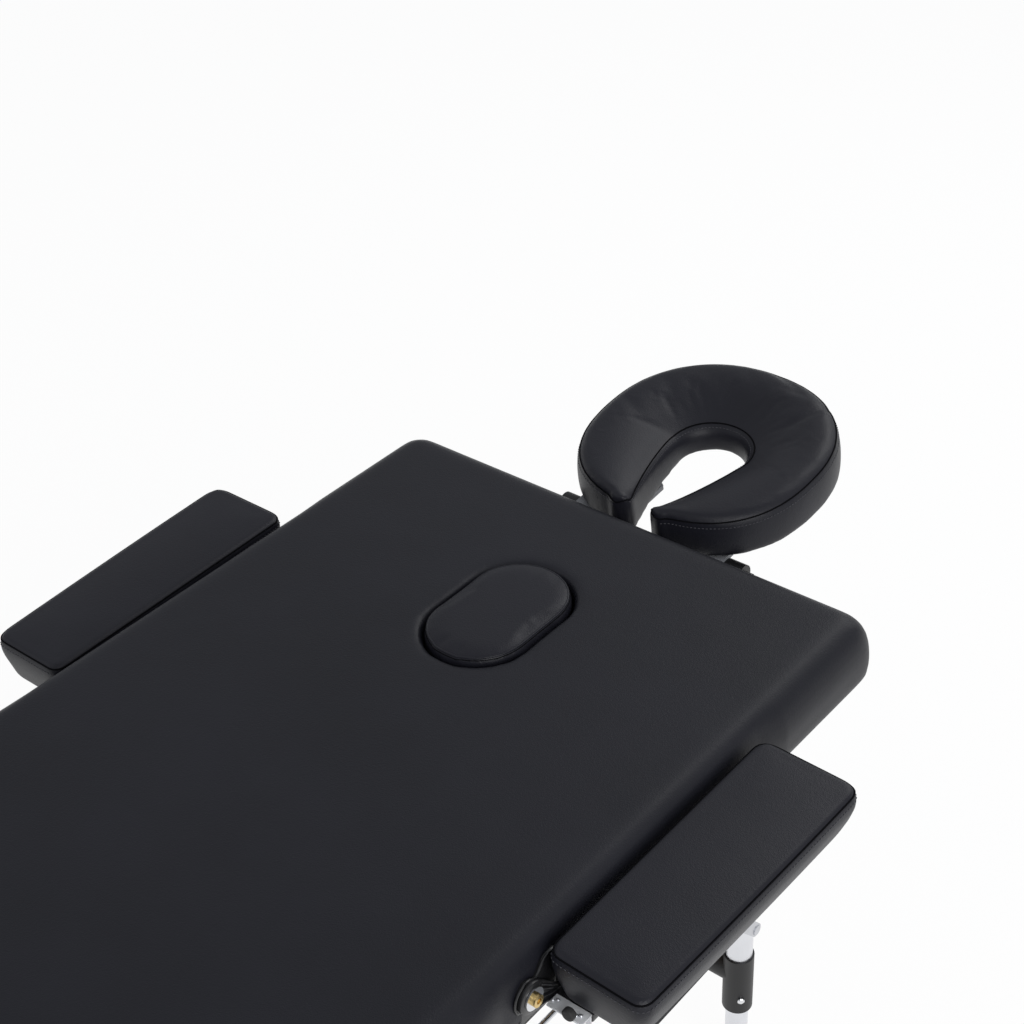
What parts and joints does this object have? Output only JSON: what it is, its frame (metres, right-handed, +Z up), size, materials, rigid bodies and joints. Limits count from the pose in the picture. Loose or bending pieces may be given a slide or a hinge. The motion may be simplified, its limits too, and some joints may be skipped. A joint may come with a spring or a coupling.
{
  "type": "folding massage table",
  "caption": "Folding massage table with padded halves on an aluminium frame, telescopic folding legs, swing-down armrests, a plugged face opening and a tilting face cradle.",
  "frame": {"origin": "middle of the whole object's outline, on the floor", "axes": "+X across the table to the right, +Y lengthwise to the head end with the face cradle, +Z up"},
  "size_m": [0.8346, 2.147, 0.6425],
  "materials": {
    "pad_vinyl": "satin grained vinyl",
    "armrest_vinyl": "satin grained vinyl with sewn seams",
    "plywood": "plain",
    "rail_aluminium": "satin anodised",
    "tube_aluminium": "satin anodised",
    "zinc_steel": "zinc plated",
    "bright_steel": "bright plated",
    "black_plastic": "moulded",
    "grey_plate": "grey powder coat",
    "black_board": "black backing cloth",
    "brass_bolt": "plain",
    "rubber_foot": "moulded"
  },
  "bodies": {
    "head_half": {"head_board": "plywood", "head_cushion": "pad_vinyl", "head_side_rails": "rail_aluminium", "head_end_rails": "rail_aluminium", "head_brackets": "zinc_steel", "head_pivot_bolts": "bright_steel", "post_sockets": "black_plastic", "armrest_mounts": "black_plastic", "armrest_bolts": "brass_bolt", "armrest_washers": "bright_steel", "head_hinge_leaves": "zinc_steel", "hinge_pins": "bright_steel", "head_truss_rods": "bright_steel"},
    "tail_half": {"tail_board": "plywood", "tail_cushion": "pad_vinyl", "tail_side_rails": "rail_aluminium", "tail_end_rails": "rail_aluminium", "tail_brackets": "zinc_steel", "tail_pivot_bolts": "bright_steel", "tail_hinge_leaves": "zinc_steel", "tail_truss_rods": "bright_steel"},
    "plug": {"face_plug": "pad_vinyl"},
    "head_legs": {"head_leg_tubes": "tube_aluminium", "head_t_joints": "black_plastic", "head_cross_tube": "tube_aluminium"},
    "tail_legs": {"tail_leg_tubes": "tube_aluminium", "tail_t_joints": "black_plastic", "tail_cross_tube": "tube_aluminium"},
    "head_stays_upper": {"head_upper_stays": "zinc_steel"},
    "head_stays_lower": {"head_lower_stays": "zinc_steel"},
    "tail_stays_upper": {"tail_upper_stays": "zinc_steel"},
    "tail_stays_lower": {"tail_lower_stays": "zinc_steel"},
    "cradle_base": {"cradle_posts": "bright_steel", "cradle_uprights": "black_plastic"},
    "cradle_head": {"cradle_plate": "grey_plate", "cradle_cushion": "armrest_vinyl"},
    "cam_lever": {"cradle_lever": "black_plastic"},
    "lower_leg_head_right": {"lower_leg_head_right": "tube_aluminium", "foot_head_right": "rubber_foot"},
    "button_head_right": {"button_head_right": "bright_steel"},
    "lower_leg_head_left": {"lower_leg_head_left": "tube_aluminium", "foot_head_left": "rubber_foot"},
    "button_head_left": {"button_head_left": "bright_steel"},
    "lower_leg_tail_right": {"lower_leg_tail_right": "tube_aluminium", "foot_tail_right": "rubber_foot"},
    "button_tail_right": {"button_tail_right": "bright_steel"},
    "lower_leg_tail_left": {"lower_leg_tail_left": "tube_aluminium", "foot_tail_left": "rubber_foot"},
    "button_tail_left": {"button_tail_left": "bright_steel"},
    "armrest_right": {"armrest_arm_right": "black_plastic", "armrest_plate_right": "bright_steel", "armrest_board_right": "black_board", "armrest_cushion_right": "armrest_vinyl"},
    "armrest_left": {"armrest_arm_left": "black_plastic", "armrest_plate_left": "bright_steel", "armrest_board_left": "black_board", "armrest_cushion_left": "armrest_vinyl"}
  },
  "joints": [
    {"name": "table_fold", "type": "hinge", "parent": "head_half", "child": "tail_half", "pos_m": [0, -0.14354, 0.476], "axis": [1, 0, 0], "range_deg": [0, 180]},
    {"name": "head_legs_fold", "type": "hinge", "parent": "head_half", "child": "head_legs", "pos_m": [0, 0.67446, 0.505], "axis": [-1, 0, 0], "range_deg": [0, 90]},
    {"name": "tail_legs_fold", "type": "hinge", "parent": "tail_half", "child": "tail_legs", "pos_m": [0, -0.96154, 0.505], "axis": [1, 0, 0], "range_deg": [0, 90]},
    {"name": "head_stays_turn", "type": "hinge", "parent": "head_half", "child": "head_stays_upper", "pos_m": [0, 0.41646, 0.522], "axis": [-1, 0, 0], "range_deg": [0, 131.17]},
    {"name": "head_stays_knee", "type": "hinge", "parent": "head_stays_upper", "child": "head_stays_lower", "pos_m": [0, 0.55178, 0.36727], "axis": [1, 0, 0], "range_deg": [0, 174.77]},
    {"name": "tail_stays_turn", "type": "hinge", "parent": "tail_half", "child": "tail_stays_upper", "pos_m": [0, -0.70354, 0.522], "axis": [1, 0, 0], "range_deg": [0, 131.17]},
    {"name": "tail_stays_knee", "type": "hinge", "parent": "tail_stays_upper", "child": "tail_stays_lower", "pos_m": [0, -0.83887, 0.36727], "axis": [-1, 0, 0], "range_deg": [0, 174.77]},
    {"name": "plug_lift", "type": "slide", "parent": "head_half", "child": "plug", "axis": [0, 0, 1], "range_m": [0, 0.09]},
    {"name": "leg_height_head_right", "type": "slide", "parent": "head_legs", "child": "lower_leg_head_right", "axis": [0, 0, -1], "range_m": [0, 0.2]},
    {"name": "button_press_head_right", "type": "slide", "parent": "head_legs", "child": "button_head_right", "axis": [-0.7071, 0.7071, 0], "range_m": [0, 0.004], "stiffness_N_per_m": 500, "springref_m": -0.002},
    {"name": "leg_height_head_left", "type": "slide", "parent": "head_legs", "child": "lower_leg_head_left", "axis": [0, 0, -1], "range_m": [0, 0.2]},
    {"name": "button_press_head_left", "type": "slide", "parent": "head_legs", "child": "button_head_left", "axis": [0.7071, 0.7071, 0], "range_m": [0, 0.004], "stiffness_N_per_m": 500, "springref_m": -0.002},
    {"name": "leg_height_tail_right", "type": "slide", "parent": "tail_legs", "child": "lower_leg_tail_right", "axis": [0, 0, -1], "range_m": [0, 0.2]},
    {"name": "button_press_tail_right", "type": "slide", "parent": "tail_legs", "child": "button_tail_right", "axis": [-0.7071, -0.7071, 0], "range_m": [0, 0.004], "stiffness_N_per_m": 500, "springref_m": -0.002},
    {"name": "leg_height_tail_left", "type": "slide", "parent": "tail_legs", "child": "lower_leg_tail_left", "axis": [0, 0, -1], "range_m": [0, 0.2]},
    {"name": "button_press_tail_left", "type": "slide", "parent": "tail_legs", "child": "button_tail_left", "axis": [0.7071, -0.7071, 0], "range_m": [0, 0.004], "stiffness_N_per_m": 500, "springref_m": -0.002},
    {"name": "armrest_swing_right", "type": "hinge", "parent": "head_half", "child": "armrest_right", "pos_m": [0.306, 0.23756, 0.5616], "axis": [-1, 0, 0], "range_deg": [0, 90]},
    {"name": "armrest_swing_left", "type": "hinge", "parent": "head_half", "child": "armrest_left", "pos_m": [-0.306, 0.23756, 0.5616], "axis": [-1, 0, 0], "range_deg": [0, 90]},
    {"name": "cradle_pull", "type": "slide", "parent": "head_half", "child": "cradle_base", "axis": [0, 1, 0], "range_m": [0, 0.09]},
    {"name": "cradle_tilt", "type": "hinge", "parent": "cradle_base", "child": "cradle_head", "pos_m": [0, 0.83346, 0.5477], "axis": [1, 0, 0], "range_deg": [-35.5, 4.5]},
    {"name": "lever_turn", "type": "hinge", "parent": "cradle_base", "child": "cam_lever", "pos_m": [0.126, 0.83346, 0.5477], "axis": [1, 0, 0], "range_deg": [0, 80]}
  ],
  "couplings": [
    {"joint": "head_legs_fold", "follows": "table_fold", "ratio": 0.5},
    {"joint": "tail_legs_fold", "follows": "table_fold", "ratio": 0.5},
    {"joint": "head_stays_turn", "follows": "table_fold", "ratio": 0.72873},
    {"joint": "head_stays_knee", "follows": "table_fold", "ratio": 0.97092},
    {"joint": "tail_stays_turn", "follows": "table_fold", "ratio": 0.72873},
    {"joint": "tail_stays_knee", "follows": "table_fold", "ratio": 0.97092}
  ]
}
